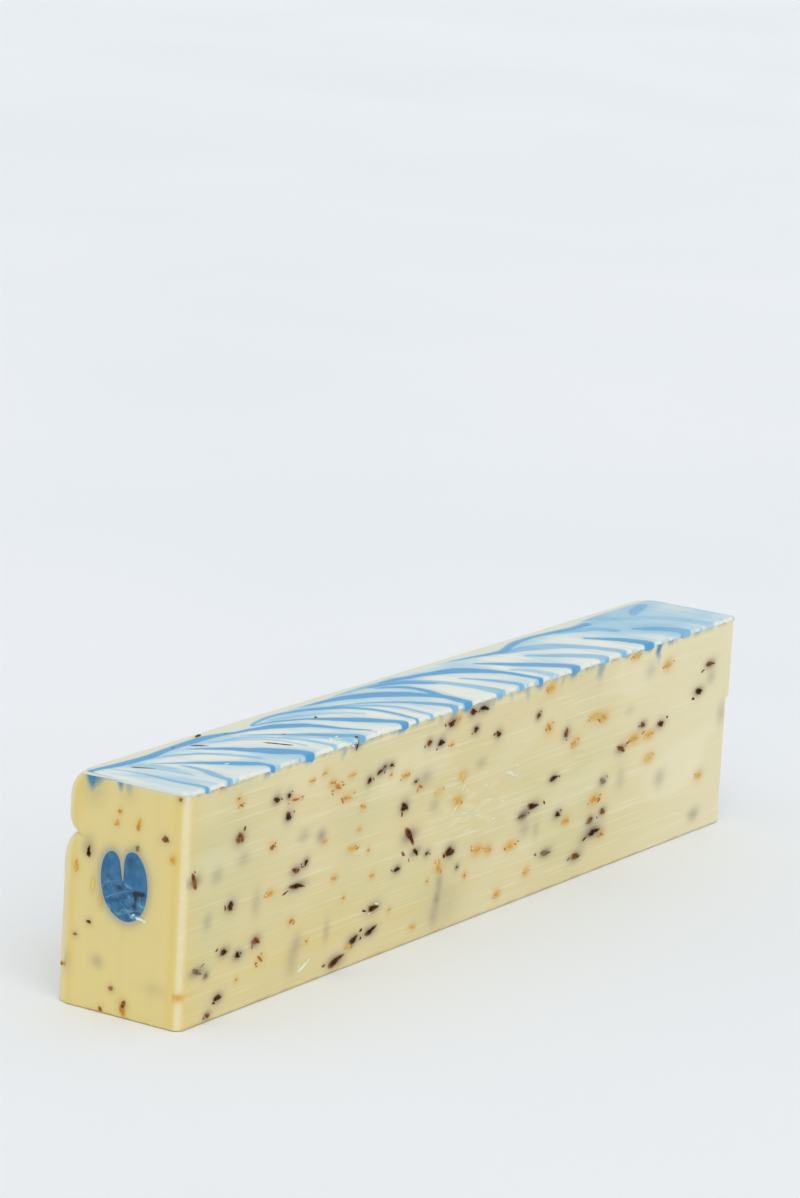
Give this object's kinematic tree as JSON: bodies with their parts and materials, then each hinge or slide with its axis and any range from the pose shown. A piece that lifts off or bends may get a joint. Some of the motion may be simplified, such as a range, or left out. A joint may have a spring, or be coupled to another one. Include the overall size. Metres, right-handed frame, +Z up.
{
  "type": "soap loaf",
  "caption": "Long uncut bar of cream cast soap with a blue heart core, a swirled blue and white top and dried buds set flush in its faces, to be sliced or displayed whole.",
  "frame": {"origin": "middle of the base, on the surface that the loaf stands on", "axes": "+Z up, +Y along the loaf from the cut end that shows the heart to the far end, +X towards the planed side"},
  "size_m": [0.05, 0.332, 0.076],
  "materials": {
    "cream_soap": "waxy translucent cream soap, planed and cast faces",
    "heart_soap": "waxy deep blue soap, scraped where it was cut",
    "white_soap": "smooth white poured soap",
    "blue_soap": "smooth light blue poured soap",
    "dried_bud": "dark dry plant matter, fibrous",
    "dried_petal": "rust and amber dry plant matter"
  },
  "bodies": {
    "root": {"soap_loaf": "cream_soap", "heart_core": "heart_soap", "swirl_white": "white_soap", "swirl_veins": "blue_soap", "lavender_buds": "dried_bud", "petal_flecks": "dried_petal"}
  },
  "joints": []
}
